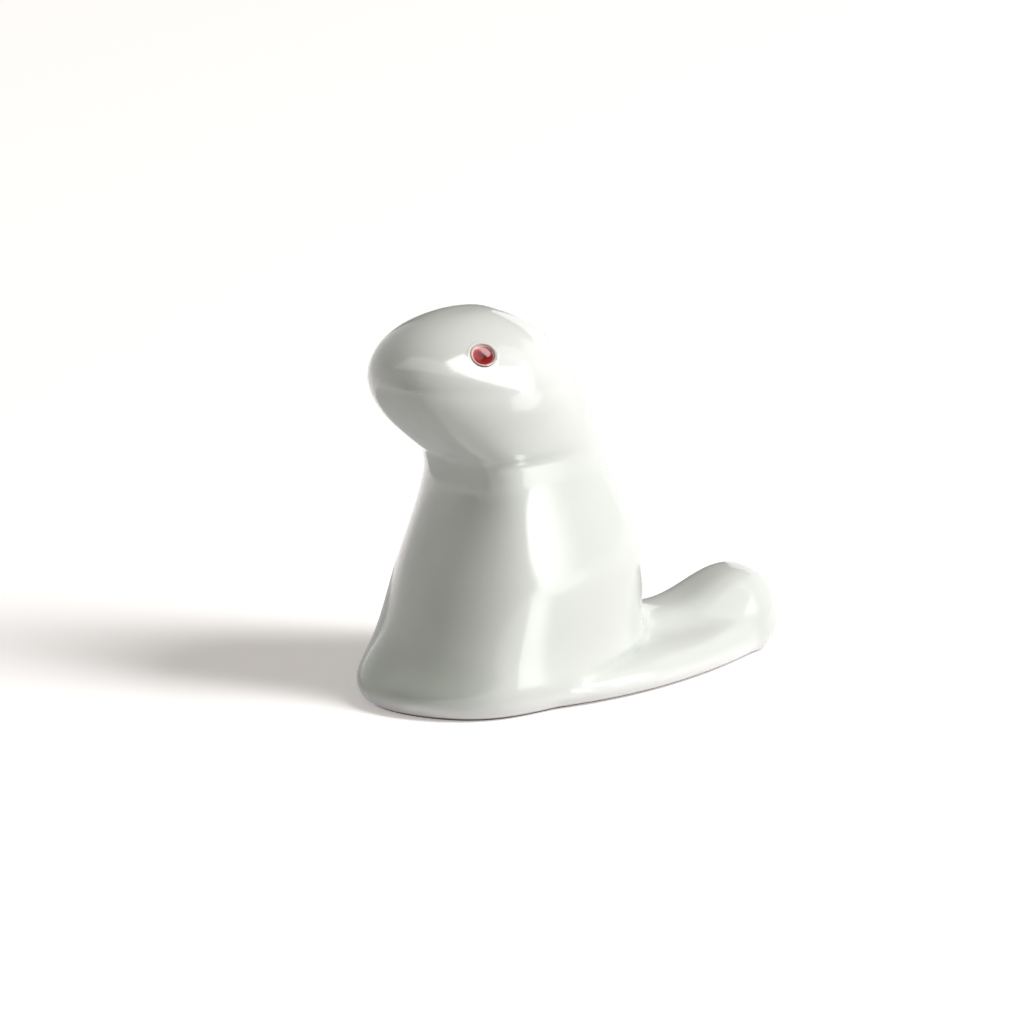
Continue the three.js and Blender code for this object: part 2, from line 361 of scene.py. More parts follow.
class Board:
    """A node tree that is wired from node types, settings and sockets."""

    def __init__(self, tree: bpy.types.NodeTree) -> None:
        """Start from an empty tree."""
        self.tree = tree
        tree.nodes.clear()

    def add(self, kind: str, settings: Settings, sockets: Sockets, output: Union[str, int] = 0) -> Wire:
        """Add a node.

        Args:
            kind: The node's type.
            settings: Its properties, which are set first.
            sockets: Values or wires for its inputs.
            output: The output to return.

        Returns:
            That output.
        """
        node = self.tree.nodes.new(kind)
        for name, value in settings.items():
            setattr(node, name, value)
        for name, value in sockets.items():
            if isinstance(value, Wire):
                self.tree.links.new(value.socket, node.inputs[name])
            else:
                node.inputs[name].default_value = value
        return Wire(self, node.outputs[output] if node.outputs else None)

    def tint(self, share: Operand, low: Union[Wire, Colour], high: Union[Wire, Colour]) -> Wire:
        """Blend from one colour to another.

        Args:
            share: How much of the second colour shows.
            low: The colour at 0.
            high: The colour at 1.

        Returns:
            The blended colour.
        """
        settings = {"data_type": "RGBA", "clamp_factor": True}
        return self.add("ShaderNodeMix", settings, {0: share, 6: low, 7: high}, output=2)

    def noise(self, place: Wire, scale: float, detail: float) -> Wire:
        """Give soft noise around 0.5 with a scale per metre."""
        return self.add("ShaderNodeTexNoise", {}, {"Vector": place, "Scale": scale, "Detail": detail})

    def place(self) -> Wire:
        """Give the place on the piece in its own coordinates."""
        return self.add("ShaderNodeTexCoord", {}, {}, output="Object")

    def height(self, place: Wire) -> Wire:
        """Give the height above the table in metres."""
        return self.add("ShaderNodeSeparateXYZ", {}, {"Vector": place}, output="Z")

    def along(self, place: Wire, direction: Vector) -> Wire:
        """Give how far a place lies along a direction."""
        sockets = {0: place, 1: direction}
        return self.add("ShaderNodeVectorMath", {"operation": "DOT_PRODUCT"}, sockets, output="Value")

    def stored(self, name: str) -> Wire:
        """Give a number that is stored on the vertices."""
        return self.add("ShaderNodeAttribute", {"attribute_name": name}, {}, output="Fac")

    def bump(self, height: Wire, depth: float) -> Wire:
        """Give normals for a relief of some depth in metres."""
        return self.add("ShaderNodeBump", {}, {"Height": height, "Distance": depth, "Strength": 1.0})

    def glow(self, colour: Union[Wire, Colour], strength: Operand) -> Wire:
        """Give a shader that shines."""
        return self.add("ShaderNodeEmission", {}, {"Color": colour, "Strength": strength})

    def surface(self, shader: Wire, output: str = "ShaderNodeOutputMaterial") -> None:
        """Show a shader."""
        self.add(output, {}, {"Surface": shader})

    def principled(self, sockets: Sockets) -> None:
        """Show a Principled shader with some of its sockets set."""
        self.surface(self.add("ShaderNodeBsdfPrincipled", {}, sockets))


def new_material(name: str) -> tuple[bpy.types.Material, Board]:
    """Make an empty node material.

    Args:
        name: The material's name.

    Returns:
        The material and its board.
    """
    material = bpy.data.materials.new(name)
    material.use_nodes = True
    return material, Board(material.node_tree)


# Finishes


@dataclass(frozen=True)
class CeladonGlaze:
    """A clear, pale green glaze that lies thicker in hollows and thinner over edges. Its colour also
    carries painted light and shade: a paler head and a near-white foot band as painted light, and a darker
    green front toe and a dark brown line at the table, on the real bare band, as painted shade.
    """

    thin: Colour = (0.845, 0.85, 0.825, 1.0)
    body: Colour = (0.765, 0.785, 0.745, 1.0)
    pooled: Colour = (0.56, 0.62, 0.54, 1.0)
    # Painted shade: the bare band at the table is real, but this very dark brown stands in for the contact
    # shadow under the foot.
    biscuit: Colour = (0.26, 0.23, 0.20, 1.0)
    speck: Colour = (0.26, 0.23, 0.19, 1.0)
    # Painted light: a near-white colour for the lowest millimetres of the foot, standing in for light
    # thrown up from the table.
    painted_foot_light: Colour = (0.95, 0.95, 0.94, 1.0)
    roughness: float = 0.15
    bare_roughness: float = 0.6
    coat_roughness: float = 0.13
    hollow_range: tuple[float, float] = (0.02, 0.6)
    edge_range: tuple[float, float] = (0.15, 0.8)
    bare_band_and_contact_shade_heights: tuple[float, float] = (0.168 * MM, 0.392 * MM)
    painted_foot_light_heights: tuple[float, float] = (1.0 * MM, 2.5 * MM)
    # Painted light: above these heights the head takes the paler thin-glaze colour.
    painted_head_light_heights: tuple[float, float] = (28.0 * MM, 35.0 * MM)
    # Painted shade: the low front of the foot takes the darker pooled colour, within these heights and
    # this reach forward.
    painted_toe_shade_heights: tuple[float, float] = (4.0 * MM, 8.0 * MM)
    painted_toe_shade_reach: tuple[float, float] = (13.0 * MM, 18.0 * MM)
    painted_toe_shade_share: float = 0.6
    cloud_scale: float = 140.0
    cloud_detail: float = 2.0
    cloud_share: float = 0.12
    speck_scale: float = 260.0
    speck_range: tuple[float, float] = (0.955, 0.956)
    speck_radius: tuple[float, float] = (0.015, 0.04)
    speck_share: float = 0.55
    peel_scale: float = 900.0
    peel_detail: float = 0.0
    peel_depth: float = 0.002 * MM

    def material(self) -> bpy.types.Material:
        """Wire the glaze.

        Returns:
            The material.
        """
        material, board = new_material(Slot.GLAZE.value)
        place = board.place()
        height = board.height(place)
        hollow = board.stored("hollow")
        cloud = board.noise(place, self.cloud_scale, self.cloud_detail)
        pooled_glaze_and_toe_shade = (hollow.over(*self.hollow_range) + self.cloud_share * (cloud - 0.5)).over(0.0, 1.0)
        # Real glaze pooling in hollows, plus painted shade on the low front toe in the darker pooled
        # colour.
        painted_toe_shade = board.along(place, FORWARD).over(*self.painted_toe_shade_reach)
        pooled_glaze_and_toe_shade = pooled_glaze_and_toe_shade.largest(self.painted_toe_shade_share * painted_toe_shade * (1.0 - height.over(*self.painted_toe_shade_heights)))
        # The thin colour goes on convex edges, where the glaze really runs thin, and on the head as
        # painted light that makes it paler than the body.
        thin_edges_and_painted_head_light = (0.0 - hollow).over(*self.edge_range).largest(height.over(*self.painted_head_light_heights))
        colour = board.tint(thin_edges_and_painted_head_light, self.body, self.thin)
        colour = board.tint(pooled_glaze_and_toe_shade, colour, self.pooled)
        # Painted light: below these heights the foot is painted near-white.
        colour = board.tint(height.over(*self.painted_foot_light_heights), self.painted_foot_light, colour)
        cells = board.add("ShaderNodeTexVoronoi", {}, {"Vector": place, "Scale": self.speck_scale})
        draw = board.add("ShaderNodeSeparateColor", {}, {"Color": cells.other("Color")})
        dot = (1.0 - cells.over(*self.speck_radius)) * draw.over(*self.speck_range)
        colour = board.tint(self.speck_share * dot, colour, self.speck)
        # The bare band is real, unglazed and rough, and its dark brown colour is painted contact shade.
        bare_band_and_contact_shade = 1.0 - height.over(*self.bare_band_and_contact_shade_heights)
        peel = board.noise(place, self.peel_scale, self.peel_detail)
        board.principled(
            {
                "Base Color": board.tint(bare_band_and_contact_shade, colour, self.biscuit),
                "Roughness": self.roughness + self.bare_roughness * bare_band_and_contact_shade,
                "Coat Weight": 1.0 - bare_band_and_contact_shade,
                "Coat Roughness": self.coat_roughness,
                "Normal": board.bump(peel, self.peel_depth),
            }
        )
        return material


@dataclass(frozen=True)
class Biscuit:
    """Fired porcelain without glaze, matt and finely grained."""

    pale: Colour = (0.80, 0.76, 0.69, 1.0)
    stained: Colour = (0.66, 0.59, 0.50, 1.0)
    grain_scale: float = 1400.0
    grain_detail: float = 4.0
    grain_depth: float = 0.03 * MM
    stain_scale: float = 120.0
    stain_detail: float = 3.0
    stain_range: tuple[float, float] = (0.45, 0.75)
    stain_share: float = 0.7
    roughness: float = 0.8

    def material(self) -> bpy.types.Material:
        """Wire the bare clay.

        Returns:
            The material.
        """
        material, board = new_material(Slot.BISCUIT.value)
        place = board.place()
        grain = board.noise(place, self.grain_scale, self.grain_detail)
        stain = board.noise(place, self.stain_scale, self.stain_detail).over(*self.stain_range)
        board.principled(
            {
                "Base Color": board.tint(self.stain_share * stain, self.pale, self.stained),
                "Roughness": self.roughness,
                "Normal": board.bump(grain, self.grain_depth),
            }
        )
        return material


@dataclass(frozen=True)
class RedEnamel:
    """Deep red overglaze enamel, clearer where it thins out and pale at the lip."""

    deep: Colour = (0.17, 0.0015, 0.003, 1.0)
    clear: Colour = (0.42, 0.012, 0.012, 1.0)
    lip: Colour = (0.80, 0.64, 0.61, 1.0)
    clear_range: tuple[float, float] = (0.2, 0.9)
    lip_range: tuple[float, float] = (0.87, 0.93)
    roughness: float = 0.12
    coat_roughness: float = 0.12

    def material(self) -> bpy.types.Material:
        """Wire the enamel.

        Returns:
            The material.
        """
        material, board = new_material(Slot.ENAMEL.value)
        thin = board.stored("thin")
        colour = board.tint(thin.over(*self.clear_range), self.deep, self.clear)
        board.principled(
            {
                "Base Color": board.tint(thin.over(*self.lip_range), colour, self.lip),
                "Roughness": self.roughness,
                "Coat Weight": 1.0,
                "Coat Roughness": self.coat_roughness,
            }
        )
        return material


# The figure


@dataclass(frozen=True)
class Foot:
    """The foot's plan, which places everything along the figure."""

    length: float = 31.4
    width: float = 22.1
    middle_setback: float = 12.2
    sole_inset: float = 0.9
    roll_height: float = 1.6
    tail_length: float = 15.5

    def at(self, setback: float) -> float:
        """Give the X of a point set back from the front of the foot."""
        return (self.length + self.tail_length) / 2 - setback

    def at_back(self, inset: float) -> float:
        """Give the X of a point set in from the back of the foot."""
        return self.at(self.length - inset)


@dataclass(frozen=True)
class Body:
    """The body and head: a skin that is read level by level from the sole to the crown."""

    foot: Foot = Foot()
    height: float = 39.1
    ankle_rise: float = 3.4
    ankle_front_inset: float = 2.0
    ankle_back_inset: float = 0.8
    ankle_side_inset: float = 0.2
    middle_setback: float = 14.05
    chest_rise: float = 8.0
    chest_width: float = 20.5
    chest_front_setback: float = 4.85
    chest_back_inset: float = 1.25
    neck_width: float = 16.4
    neck_front_setback: float = 7.95
    neck_back_inset: float = 5.1
    head_rise: float = 9.8
    head_width: float = 17.8
    head_setback: float = 11.8
    snout_reach: float = 10.2
    brow_depth: float = 6.5
    throat_rise: float = 3.4
    chin_drop: float = 4.3
    nape_back_inset: float = 9.9
    nape_lift: float = 0.2
    front_fill: float = -0.024
    back_fill: float = 0.018
    head_fill: float = 0.012
    flank_softness: float = 0.14

    def outlines(self, inset: float) -> np.ndarray:
        """Work out the skin's outlines at each station.

        One more outline past the crown keeps the skin level there.

        Args:
            inset: How far inside the outer skin they lie.

        Returns:
            Rows of front X and Z, back X and Z, flank half width and Z, and the X of the widest place.
        """
        foot = self.foot
        ankle_height = foot.roll_height + self.ankle_rise
        chest_height = ankle_height + self.chest_rise
        snout_height = self.height - self.brow_depth
        neck_height = snout_height - self.head_rise
        foot_half = foot.width / 2
        low = (
            (foot.sole_inset, foot.sole_inset, foot_half - foot.sole_inset, 0.0, foot.middle_setback),
            (0.0, 0.0, foot_half, foot.roll_height, foot.middle_setback),
            (
                self.ankle_front_inset,
                self.ankle_back_inset,
                foot_half - self.ankle_side_inset,
                ankle_height,
                foot.middle_setback,
            ),
            (
                self.chest_front_setback,
                self.chest_back_inset,
                self.chest_width / 2,
                chest_height,
                self.middle_setback,
            ),
            (
                self.neck_front_setback,
                self.neck_back_inset,
                self.neck_width / 2,
                neck_height,
                self.middle_setback,
            ),
        )
        rows = [
            (foot.at(ahead) - inset, z, foot.at_back(behind) + inset, z, half - inset, z, foot.at(middle))
            for ahead, behind, half, z, middle in low
        ]
        reach = self.snout_reach - inset
        brow = self.brow_depth - inset
        neck_x = foot.at(self.neck_front_setback) - inset
        snout_x = foot.at(self.head_setback) + reach
        jaw = (
            (neck_x, neck_height),
            (neck_x, neck_height + self.throat_rise),
            (snout_x, snout_height - self.chin_drop),
            (snout_x, snout_height),
        )
        nape = (
            (foot.at_back(self.neck_back_inset) + inset, neck_height),
            (foot.at_back(self.nape_back_inset) + inset, self.height + self.nape_lift - inset),
            (foot.at(self.head_setback), snout_height + brow),
        )
        for station in range(Station.THROAT, Station.CROWN + 1):
            climb = (station - Station.NECK) / (Station.CROWN - Station.NECK)
            swell = min(1.0, (station - Station.NECK) / (Station.SNOUT - Station.NECK))
            turn = max(0.0, (station - Station.SNOUT) / (Station.CROWN - Station.SNOUT)) * math.pi / 2
            face_x, face_z = bezier(jaw, swell)
            face_x -= reach * (1 - math.cos(turn))
            face_z += brow * math.sin(turn)
            back_x, back_z = bezier(nape, climb)
            width = mix(self.neck_width, self.head_width, ease(swell, 0.0, 1.0))
            half = (width / 2 - inset) * math.cos(turn)
            middle = foot.at(mix(self.middle_setback, self.head_setback, climb))
            rows.append((face_x, face_z, back_x, back_z, half, face_z, middle))
        front_x, front_z, back_x, back_z, half, flank_z, middle = rows[Station.BROW]
        rows.append((back_x, back_z, front_x, front_z, -half, flank_z, middle))
        return np.array(rows)


class Skin:
    """The body's surface at one inset, read by station and turn."""

    def __init__(self, body: Body, inset: float = 0.0) -> None:
        """Fit the surface.

        Args:
            body: The body whose skin it is.
            inset: How far inside the outer skin it lies.
        """
        self.body = body
        self.spline = Spline(body.outlines(inset), paced_by=2)

    def points(self, station: float, turns: np.ndarray) -> np.ndarray:
        """Give points of one level.

        Args:
            station: The level.
            turns: Angles in radians, where 0 faces forward and a quarter turn faces left.

        Returns:
            One point for each turn.
        """
        knot = np.interp(station, range(len(self.spline.knots)), self.spline.knots)
        front_x, front_z, back_x, back_z, half, flank_z, middle = self.spline.at(knot)
        body = self.body
        low = mix(body.back_fill, body.front_fill, (1 + np.cos(turns)) / 2)
        fill = mix(low, body.head_fill, ease(station, Station.NECK, Station.SNOUT))
        along = (np.cos(turns) - fill * np.cos(3 * turns)) / (1 - fill)
        across = (np.sin(turns) + fill * np.sin(3 * turns)) / (1 - fill)
        soft = body.flank_softness
        fold = (np.sqrt(along**2 + soft**2) - soft) / (math.sqrt(1 + soft**2) - soft)
        ahead = (fold + along) / 2
        behind = (fold - along) / 2
        x = middle + (front_x - middle) * ahead + (back_x - middle) * behind
        z = flank_z + (front_z - flank_z) * ahead**2 + (back_z - flank_z) * behind**2
        return np.stack([x, half * across, z], axis=-1)

    def rings(self, first: float, count: int, around: int) -> np.ndarray:
        """Give rings from a station up to the crown, spaced evenly along the spline.

        Args:
            first: The lowest station.
            count: How many rings.
            around: How many points each has.

        Returns:
            The rings, lowest first.
        """
        numbers = range(len(self.spline.knots))
        ends = np.interp([first, Station.CROWN], numbers, self.spline.knots)
        stations = np.interp(np.linspace(*ends, count), self.spline.knots, numbers)
        turns = np.arange(around) * math.tau / around
        return np.array([self.points(station, turns) for station in stations])

    def frame(self, station: float, turn: float, step: float = 0.01) -> Matrix:
        """Give a place on the skin whose Z axis points out of it.

        Args:
            station: The level.
            turn: The angle in radians.
            step: How far apart the slopes are read.

        Returns:
            The place as a matrix.
        """
        here, aside = (Vector(point) for point in self.points(station, np.array([turn, turn + step])))
        above = Vector(self.points(station + step, np.array([turn]))[0])
        outward = (aside - here).cross(above - here)
        return Matrix.Translation(here) @ outward.to_track_quat("Z", "Y").to_matrix().to_4x4()


@dataclass(frozen=True)
class Tail:
    """The low tail: a rolled skirt, a shelf and a round ridge that rises to a rounded end."""

    foot: Foot = Foot()
    start_setback: float = 15.5
    width: float = 9.8
    roll_height: float = 1.5
    shelf_rise: float = 1.9
    root_rise: float = 2.1
    end_rise: float = 4.8
    tip_height: float = 3.8
    end_round: float = 4.6
    end_foot_width: float = 11.2
    seat_length: float = 2.7
    tuck: float = 0.4
    bend_inset: float = 3.0
    bend_swell: float = 1.5
    shelf_reach: float = 0.7
    side_rise: float = 0.3
    shoulder_rise: float = 0.88
    shoulder_reach: float = 0.55
    sink: float = 1.0
    keel_share: float = 0.9
    steps: int = 72
    rings: int = 40
    end_rings: int = 18

    def section(self, x: float, foot_half: float, rise: float, shrink: float) -> np.ndarray:
        """Give one section, shrunk towards the tip's height where the end rounds off.

        Args:
            x: Where it stands along the figure.
            foot_half: Half the width of its skirt.
            rise: How far the ridge stands above the shelf.
            shrink: How much of its full size is left.

        Returns:
            The points of a closed ring.
        """
        shelf = self.roll_height + self.shelf_rise
        ridge = min(self.width / 2, foot_half)
        half = [
            (foot_half - self.foot.sole_inset, 0.0),
            (foot_half, self.roll_height),
            (mix(ridge, foot_half, self.shelf_reach), shelf),
            (ridge, shelf + rise * self.side_rise),
            (ridge * self.shoulder_reach, shelf + rise * self.shoulder_rise),
        ]
        outline = [(-y, z) for y, z in half] + [(0.0, shelf + rise)] + half[::-1]
        spline = Spline(np.array(outline), paced_by=2)
        ring = np.array([spline.at(knot) for knot in np.linspace(0.0, spline.knots[-1], self.steps)])
        ring = np.column_stack([ring[:, 0] * shrink, mix(self.tip_height, ring[:, 1], shrink)])
        drop = self.sink if shrink == 1 else 0.0
        keel = ring[[-1, 0]] * (self.keel_share, 1.0) - (0.0, drop)
        ring = np.concatenate([ring, keel])
        return np.column_stack([np.full(len(ring), x), ring])

    def sections(self) -> np.ndarray:
        """Give the sections from inside the body to the rounded end.

        Returns:
            One ring of points for each section.
        """
        foot = self.foot
        seat_x = foot.at_back(-self.seat_length)
        round_x = foot.at(foot.length + foot.tail_length - self.end_round)
        end_half = self.end_foot_width / 2
        plan = (
            (foot.at(self.start_setback), foot.width / 2 - self.tuck),
            (foot.at_back(self.bend_inset), foot.width / 2 + self.bend_swell),
            (round_x, end_half),
        )
        sections = []
        for share in np.linspace(0.0, 1.0, self.rings):
            x, foot_half = bezier(plan, share)
            rise = mix(self.root_rise, self.end_rise, ease(-x, -seat_x, -round_x))
            sections.append(self.section(x, foot_half, rise, 1.0))
        for turn in np.linspace(0.0, math.pi / 2, self.end_rings + 1)[1:]:
            x = round_x - self.end_round * math.sin(turn)
            sections.append(self.section(x, end_half, self.end_rise, max(0.0, math.cos(turn))))
        return np.array(sections)


@dataclass(frozen=True)
class EyePit:
    """The pit that is pressed into the head for an eye."""

    side: Side
    rise: float = 35.0
    turn: float = 71.5
    radius: float = 1.2
    depth: float = 1.0
    wall: float = 0.1
    lip_radius: float = 1.45
    lip_height: float = 0.03
    reach: float = 2.4
    finer_share: float = 0.75
    smoothing: int = 3

    def frame(self, skin: Skin) -> Matrix:
        """Give the pit's place on the skin, with Z pointing out."""
        station = mix(Station.SNOUT, Station.CROWN, self.rise / QUARTER)
        return skin.frame(station, self.side.value * math.radians(self.turn))

    def press(self, bm: bmesh.types.BMesh, skin: Skin) -> None:
        """Press the pit into the skin, after making its faces finer.

        Args:
            bm: The skin's mesh.
            skin: The surface that places the pit.
        """
        frame = self.frame(skin)
        inward = frame.inverted()
        centre = frame.translation
        for reach in (self.reach, self.finer_share * self.reach):
            faces = [face for face in bm.faces if (face.calc_center_median() - centre).length < reach]
            edges = list({edge for face in faces for edge in face.edges})
            bmesh.ops.subdivide_edges(bm, edges=edges, cuts=1, use_grid_fill=True)
            near = [vert for vert in bm.verts if (vert.co - centre).length < reach]
            for _ in range(self.smoothing):
                smooth(bm, near)
        outward = frame.to_3x3() @ UP
        lip_half = self.lip_radius - self.radius
        for vert in bm.verts:
            place = inward @ vert.co
            radius = math.hypot(place.x, place.y)
            if abs(place.z) < self.reach and radius < self.reach:
                sunk = self.depth * (1 - ease(radius, self.radius - self.wall, self.radius + self.wall))
                swell = self.lip_height * (1 - ease(abs(radius - self.lip_radius), 0.0, lip_half))
                vert.co += outward * (swell - sunk)


@dataclass
class GlazedFigure:
    """The luted and glazed porcelain: both halves of the hollow body with the tail, as one fired piece."""

    body: Body = Body()
    tail: Tail = Tail()
    finish: CeladonGlaze = CeladonGlaze()
    pits: tuple[EyePit, ...] = (EyePit(Side.LEFT), EyePit(Side.RIGHT))
    wall: float = 3.0
    rim: float = 1.8
    ledge: float = 1.4
    rebate: float = 2.7
    sink: float = 1.0
    voxel: float = 0.25
    skin_rings: int = 150
    skin_points: int = 192
    hollow_rings: int = 48
    hollow_points: int = 96
    smoothing: int = 12
    root_smoothing: int = 60
    root_reach: float = 5.0
    root_narrowing: float = 0.3
    root_height: float = 5.0
    crease_height: float = 24.9
    crease_depth: float = 0.16
    crease_half: float = 0.8
    crease_back: float = 0.0
    crease_front: float = 9.0
    foot_edge: float = 0.45
    foot_inset: float = 0.35

    def build(self) -> bpy.types.Object:
        """Build the fired piece and dress it.

        Returns:
            The piece.
        """
        skin = Skin(self.body)
        bm = self.joined(skin)
        self.soften(bm)
        self.press_neck(bm)
        for pit in self.pits:
            pit.press(bm, skin)
        self.wipe_foot(bm)
        self.cut_sole(bm)
        obj = finished(bm, "glazed_figure")
        paint(obj, "hollow", self.hollows(obj.data))
        obj.data.materials.append(self.finish.material())
        return obj

    def joined(self, skin: Skin) -> bmesh.types.BMesh:
        """Join body and tail under one even skin, which runs on below the table to be cut there.

        Args:
            skin: The body's outer skin.

        Returns:
            The joined mesh.
        """
        bm = bmesh.new()
        rings = skin.rings(Station.SOLE, self.skin_rings, self.skin_points)
        sunk = rings[0] - (0.0, 0.0, self.sink)
        wrap(bm, np.concatenate([sunk[None], rings]))
        wrap(bm, self.tail.sections())
        bmesh.ops.recalc_face_normals(bm, faces=bm.faces)
        luted = as_object(bm, "luted")
        remesh = luted.modifiers.new("even_skin", "REMESH")
        remesh.mode = "VOXEL"
        remesh.voxel_size = self.voxel
        even = luted.evaluated_get(bpy.context.evaluated_depsgraph_get())
        bm = bmesh.new()
        bm.from_mesh(even.to_mesh())
        even.to_mesh_clear()
        mesh = luted.data
        bpy.data.objects.remove(luted)
        bpy.data.meshes.remove(mesh)
        return bm

    def soften(self, bm: bmesh.types.BMesh) -> None:
        """Round the skin as the glaze does, most of all where the tail meets the body.

        Args:
            bm: The skin's mesh.
        """
        root = Vector((self.body.foot.at_back(0.0), 0.0, self.root_height))
        areas = [list(bm.verts)] * self.smoothing
        for share in np.linspace(1.0, self.root_narrowing, self.root_smoothing):
            reach = self.root_reach * share
            areas.append([v for v in bm.verts if math.hypot(v.co.x - root.x, v.co.z - root.z) < reach])
        for area in areas:
            smooth(bm, area)

    def press_neck(self, bm: bmesh.types.BMesh) -> None:
        """Press the crease between head and chest, which runs out before the nape.

        Args:
            bm: The skin's mesh.
        """
        bm.normal_update()
        for vert in bm.verts:
            across = (vert.co.z - self.crease_height) / self.crease_half
            share = math.exp(-(across**2)) * ease(vert.co.x, self.crease_back, self.crease_front)
            vert.co -= vert.normal * self.crease_depth * share

    def wipe_foot(self, bm: bmesh.types.BMesh) -> None:
        """Wipe the foot's edge back, just above the table.

        Args:
            bm: The skin's mesh.
        """
        bm.normal_update()
        for vert in bm.verts:
            level = Vector((vert.normal.x, vert.normal.y, 0.0)).normalized()
            vert.co -= level * self.foot_inset * (1 - ease(vert.co.z, 0.0, self.foot_edge))

    def cut_sole(self, bm: bmesh.types.BMesh) -> None:
        """Cut the skin flat at the table, and line it with the rebate for the base and the hollow.

        Args:
            bm: The skin's mesh.
        """
        geometry = [*bm.verts, *bm.edges, *bm.faces]
        bmesh.ops.bisect_plane(bm, geom=geometry, plane_co=(0, 0, 0), plane_no=(0, 0, 1), clear_inner=True)
        sole = Skin(self.body, self.rim).rings(Station.SOLE, 2, self.hollow_points)[0]
        mouth = Skin(self.body, self.rim + self.ledge).rings(Station.SOLE, 2, self.hollow_points)[0]
        lift = np.array((0.0, 0.0, self.rebate))
        dome = Skin(self.body, self.wall).rings(Station.ANKLE, self.hollow_rings, self.hollow_points)
        wrap(bm, np.concatenate([[sole, sole + lift, mouth + lift], dome]), close=False)
        rims = [edge for edge in bm.edges if edge.is_boundary]
        bmesh.ops.triangle_fill(bm, edges=rims, use_beauty=True, use_dissolve=False)
        bmesh.ops.recalc_face_normals(bm, faces=bm.faces)

    def hollows(self, mesh: bpy.types.Mesh, spread: int = 10, full: float = 1.2) -> np.ndarray:
        """Work out how hollow the skin is at each vertex, from how far its neighbours stand above it.

        Args:
            mesh: The finished mesh in metres.
            spread: How often the result is averaged over neighbours.
            full: The bend per millimetre that counts as fully hollow.

        Returns:
            Numbers from -1 on a sharp edge to 1 in a sharp hollow.
        """
        count = len(mesh.vertices)
        places = rows(mesh.vertices, "co", 3) / MM
        normals = rows(mesh.vertices, "normal", 3)
        ends = rows(mesh.edges, "vertices", 2, int)
        links = np.bincount(ends.ravel(), minlength=count)

        def gathered(values: np.ndarray) -> np.ndarray:
            """Average the values of the edges at each vertex, which come in pairs for their two ends."""
            return np.bincount(ends.ravel(), weights=values.ravel(), minlength=count) / links

        def around(values: np.ndarray) -> np.ndarray:
            """Average each vertex's neighbours."""
            return gathered(values[ends[:, ::-1]])

        lift = np.stack([around(places[:, axis]) for axis in range(3)], axis=-1) - places
        squares = ((places[ends[:, 0]] - places[ends[:, 1]]) ** 2).sum(axis=1)
        spans = gathered(np.repeat(squares, 2))
        bend = 2 * (lift * normals).sum(axis=1) / spans
        result = np.clip(bend / full, -1.0, 1.0)
        for _ in range(spread):
            result = (result + around(result)) / 2
        return result


@dataclass
class BasePlate:
    """The unglazed plate that closes the hollow, with a hole that lets the air out in the kiln."""

    body: Body = Body()
    finish: Biscuit = Biscuit()
    inset: float = 2.0
    recess: float = 0.3
    thickness: float = 2.4
    vent_diameter: float = 3.0
    vent_setback: float = 19.4
    edge: float = 0.2
    edge_steps: int = 3
    edge_angle: float = 60.0
    points: int = 96
    vent_points: int = 32

    def build(self) -> bpy.types.Object:
        """Build the plate and dress it.

        Returns:
            The piece.
        """
        bm = bmesh.new()
        outline = Skin(self.body, self.inset).rings(Station.SOLE, 2, self.points)[0]
        rim = bmesh.ops.create_circle(bm, segments=self.points, radius=1.0)["verts"]
        for vert, place in zip(rim, outline):
            vert.co = (place[0], place[1], self.recess)
        foot = self.body.foot
        hole = Matrix.Translation((foot.at(self.vent_setback), 0.0, self.recess))
        bmesh.ops.create_circle(bm, segments=self.vent_points, radius=self.vent_diameter / 2, matrix=hole)
        bmesh.ops.triangle_fill(bm, edges=bm.edges, use_beauty=True, use_dissolve=False)
        grown = bmesh.ops.extrude_face_region(bm, geom=bm.faces)["geom"]
        raised = [item for item in grown if isinstance(item, bmesh.types.BMVert)]
        bmesh.ops.translate(bm, vec=(0.0, 0.0, self.thickness), verts=raised)
        bmesh.ops.recalc_face_normals(bm, faces=bm.faces)
        angle = math.radians(self.edge_angle)
        sharp = [edge for edge in bm.edges if edge.calc_face_angle(0.0) > angle]
        bmesh.ops.bevel(
            bm,
            geom=sharp,
            offset=self.edge,
            segments=self.edge_steps,
            profile=0.5,
            affect="EDGES",
            material=-1,
        )
        obj = finished(bm, "unglazed_base")
        obj.data.materials.append(self.finish.material())
        return obj


@dataclass
class EnamelEye:
    """A drop of enamel in its pit, with a dished face and a thin lip."""

    pit: EyePit
    body: Body = Body()
    radius: float = 1.1
    thickness: float = 0.8
    sink: float = 0.1
    dish: float = 0.3
    edge: float = 0.06
    rim: float = 0.17
    rim_drop: float = 0.03
    rim_height: float = 0.02
    dish_points: int = 14
    steps: int = 64

    def build(self, material: bpy.types.Material) -> bpy.types.Object:
        """Build the eye and dress it.

        Args:
            material: The enamel.

        Returns:
            The piece.
        """
        bottom = -self.sink - self.thickness
        profile = [(0.0, bottom), (self.radius - self.edge, bottom), (self.radius, bottom + self.edge)]
        profile += [(self.radius, -2 * self.sink), (self.radius + self.rim, -self.rim_drop)]
        profile.append((self.radius + self.rim / 2, self.rim_height))
        for turn in np.linspace(0.0, math.pi / 2, self.dish_points):
            profile.append((self.radius * math.cos(turn), -self.sink - self.dish * math.sin(turn)))
        bm = bmesh.new()
        lathe(bm, profile, self.steps)
        thin = [math.hypot(vert.co.x, vert.co.y) / self.radius for vert in bm.verts]
        bmesh.ops.transform(bm, matrix=self.pit.frame(Skin(self.body)), verts=bm.verts)
        obj = finished(bm, f"{self.pit.side.name.lower()}_eye_enamel")
        paint(obj, "thin", thin)
        obj.data.materials.append(material)
        return obj


# The studio


